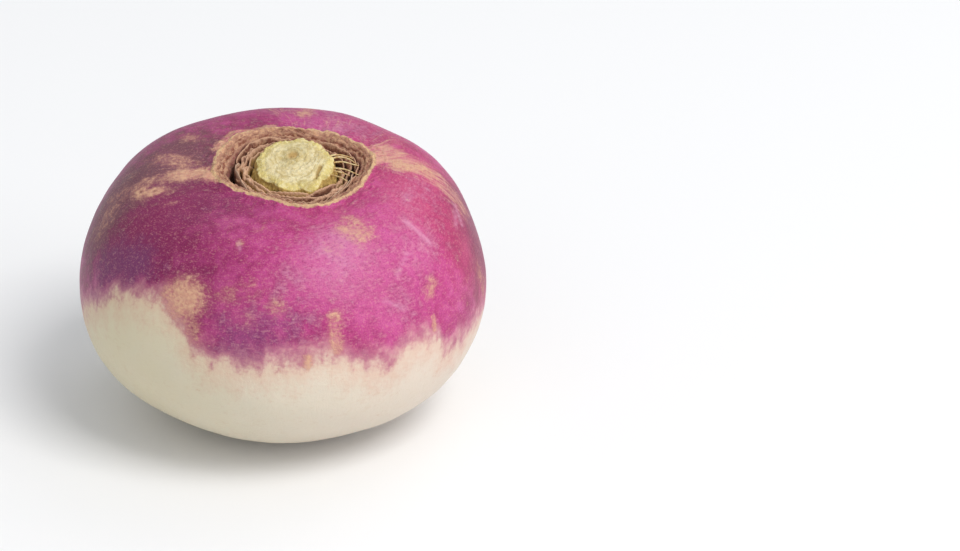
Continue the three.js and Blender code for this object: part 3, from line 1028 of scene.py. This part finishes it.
# %% Leaf base material
leaf = coated(
    "dried leaf base",
    patterns={
        "veins": ("veins_at", 0.5, 3, 0.6),
        "stain": ("place", 1.8, 4, 0.6),
        "fine": ("place", 0.5, 3, 0.6),
    },
    masks={
        "light stain": ([("stain", 1)], 0.38, 0.62),
        "dark vein": ([("veins", 1)], 0.5, 0.68),
        "straw": ([("tone", 1), ("stain", 0.8)], 0.6, 1.3),
        "flecks": ([("fine", 1)], 0.52, 0.7),
        "edge": ([("up", 1.6), ("fine", 0.5), ("stain", 0.9)], 1.9, 2.25),
        "papery": ([("paper", 1), ("up", 1), ("fine", 0.3)], 1.45, 1.9),
        # painted shade that deepens from about two thirds of the way up down to the foot
        "painted shade at the foot": ([("up", -1), ("stain", 0.3)], -0.65, 0.0),
    },
    coats=[
        ("#744436", None, 1, None),
        ("#a26e58", "light stain", 0.75, None),
        ("#b08f52", "straw", 0.8, None),
        ("#4f2a22", "dark vein", 0.6, None),
        ("#c49a7c", "flecks", 0.5, None),
        ("#cba286", "edge", 0.85, None),
        ("#cdb29b", "papery", 0.75, None),
        # painted shade towards the foot
        ("#3d2118", "painted shade at the foot", 0.85, None),
    ],
    roughness=[(0.72, 1.0), ("fine", 0.15)],
    relief=[("veins", 0.5), ("fine", 0.4), ("stain", 0.3)],
    depth=0.35 * MM,
    IOR=1.4,
)

# %% The seven leaf bases
LEAF_BASES = {
    "left": [
        dict(radius=13.3, start=160, end=214, top=0.7, curl=-0.4, thick=0.35, tone=0.3, seed=21, paper=0.7),
        dict(radius=12.1, start=150, end=226, top=0.0, curl=0.5, thick=1.3, tone=0.6, seed=22, fold=0.7,
             tear=1.3),
        dict(radius=11.0, start=160, end=236, top=0.5, curl=0.3, thick=1.5, tone=0.8, seed=23, fold=0.8,
             tear=1.1),
        dict(radius=10.4, start=158, end=250, top=0.4, curl=0.2, thick=0.9, tone=1.3, seed=24, fold=0.4),
    ],
    "front_left": [
        dict(radius=9.6, start=222, end=312, top=-0.2, curl=0.2, thick=0.8, tone=1.3, seed=25, fold=0.25),
        dict(radius=10.8, start=218, end=318, top=-0.6, curl=0.5, thick=0.9, tone=0.1, seed=26, tear=0.9),
        dict(radius=12.4, start=206, end=290, top=-0.9, curl=0.6, thick=0.5, tone=0, seed=27, tear=0.9),
    ],
    "front": [
        dict(radius=13.4, start=222, end=308, top=-0.7, curl=0.6, thick=0.6, tone=0.1, seed=28, fold=0.6,
             tear=0.9),
        dict(radius=14.6, start=212, end=316, top=-0.4, curl=0.5, thick=0.5, tone=0.4, seed=29, fold=0.5),
    ],
    "front_right": [
        dict(radius=10.0, start=284, end=338, top=0.1, curl=0.5, thick=0.9, tone=0.3, seed=31),
        dict(radius=11.7, start=288, end=340, top=-0.4, curl=1.4, thick=1.5, tone=0.2, seed=32, fold=0.8,
             tear=0.9),
        dict(radius=13.2, start=294, end=342, top=-0.4, curl=0.6, thick=0.6, tone=0.1, seed=33, tear=0.9),
    ],
    "right": [
        dict(radius=10.0, start=326, end=384, top=-1.1, curl=0.6, thick=1.4, tone=0.9, seed=43, fold=0.5,
             tear=1.2),
        dict(radius=11.8, start=328, end=378, top=-1.1, curl=0.5, thick=0.9, tone=0.2, seed=45, fold=0.7,
             tear=1.0),
        dict(radius=13.5, start=304, end=366, top=0.1, curl=0.6, thick=0.45, tone=0, seed=34, paper=0.7,
             tear=0.8),
        dict(radius=14.5, start=308, end=384, top=0.1, curl=0.4, thick=0.5, tone=0.1, seed=35, fold=0.4,
             paper=0.3, tear=0.8),
    ],
    "back_right": [
        dict(radius=14.4, start=14, end=92, top=0.2, curl=0.4, thick=0.6, tone=0.1, seed=36, fold=0.5),
        dict(radius=13.2, start=20, end=96, top=-0.5, curl=0.5, thick=1.0, tone=0.3, seed=37, fold=0.8,
             tear=1.4),
        dict(radius=12.0, start=24, end=100, top=-0.4, curl=0.4, thick=0.6, tone=0.0, seed=47, fold=0.6,
             tear=0.9),
        dict(radius=10.6, start=40, end=104, top=0.1, curl=0.5, thick=0.7, tone=0.4, seed=38, tear=0.8),
    ],
    "back": [
        dict(radius=14.3, start=84, end=158, top=0.2, curl=0.3, thick=0.6, tone=0.3, seed=39, fold=0.5),
        dict(radius=13.0, start=88, end=160, top=-0.4, curl=0.4, thick=1.0, tone=0.2, seed=40, fold=0.8,
             tear=1.4),
        dict(radius=11.6, start=92, end=172, top=0.0, curl=0.4, thick=0.7, tone=0.4, seed=41, fold=0.6),
        dict(radius=10.4, start=96, end=176, top=-0.2, curl=0.3, thick=0.7, tone=0.8, seed=49, fold=0.5),
    ],
}
for side_name, sheets in LEAF_BASES.items():
    made = [sheet(**shape) for shape in sheets]
    set_in_crown(joined(made, f"scale_{side_name}", leaf), f"leaf_base_{side_name}")

# %% [markdown]
# ## The torn fibres
# On the right the leaves were pulled as much as cut, and left fibres half a millimetre thick
# between the stump and the scales. Each is a short curve with a round section that thins towards its
# free end, turned into a mesh when it is done.


# %% One fibre
def fibre(points, thick):
    """A tapering fibre through points given as (degrees, distance away, height), in millimetres."""
    start_clean()
    bpy.ops.curve.primitive_bezier_curve_add()
    curve = bpy.context.object
    spline = curve.data.splines[0]
    spline.bezier_points.add(len(points) - len(spline.bezier_points))
    for i, (degrees, away, height) in enumerate(points):
        point = spline.bezier_points[i]
        point.co = Vector(polar(degrees, away, height)) * MM
        point.handle_left_type = point.handle_right_type = "AUTO"
        point.radius = 1 - 0.6 * i / (len(points) - 1)
    curve.data.bevel_depth = thick / 2 * MM
    curve.data.bevel_resolution = 3
    curve.data.use_fill_caps = True
    bpy.ops.object.convert(target="MESH")
    return bpy.context.object


# %% Fibre material and the four bundles
plant_fibre = coated(
    "dry plant fibre",
    patterns={"knots": ("place", 0.8, 3, 0.6)},
    masks={"pale": ([("knots", 1)], 0.38, 0.62)},
    coats=[("#b8935a", None, 1, None), ("#dcc796", "pale", 1, None)],
    roughness=[(0.55, 1.0), ("knots", 0.15)],
    relief=[("knots", 1)],
    depth=0.1 * MM,
    IOR=1.45,
)
FIBRE_THICKNESS = 0.45
BUNDLES = {
    "back": [[(26, 7.6, 0.9), (25, 9.6, 0.9), (22, 11.4, 0.5), (20, 12.9, -0.2)],
             [(20, 7.8, 0.7), (19, 10.0, 0.8), (14, 11.8, 0.5), (9, 13.2, -0.3)]],
    "upper": [[(9, 8.0, 0.6), (8, 10.2, 0.7), (5, 12.0, 0.4), (4, 13.6, 0.0)]],
    "lower": [[(-5, 8.0, 0.4), (-6, 10.4, 0.4), (-8, 12.2, 0.1), (-10, 13.8, -0.3)],
              [(-9, 7.8, 0.1), (-11, 10.0, 0.1), (-12, 12.0, -0.4)]],
    "front": [[(-22, 7.8, 0.1), (-25, 9.8, 0.5), (-27, 11.6, 0.6), (-28, 12.9, 0.3)]],
}
for bundle, routes in BUNDLES.items():
    made = [fibre(points, FIBRE_THICKNESS) for points in routes]
    set_in_crown(joined(made, f"fibres_{bundle}", plant_fibre), f"torn_strand_{bundle}")
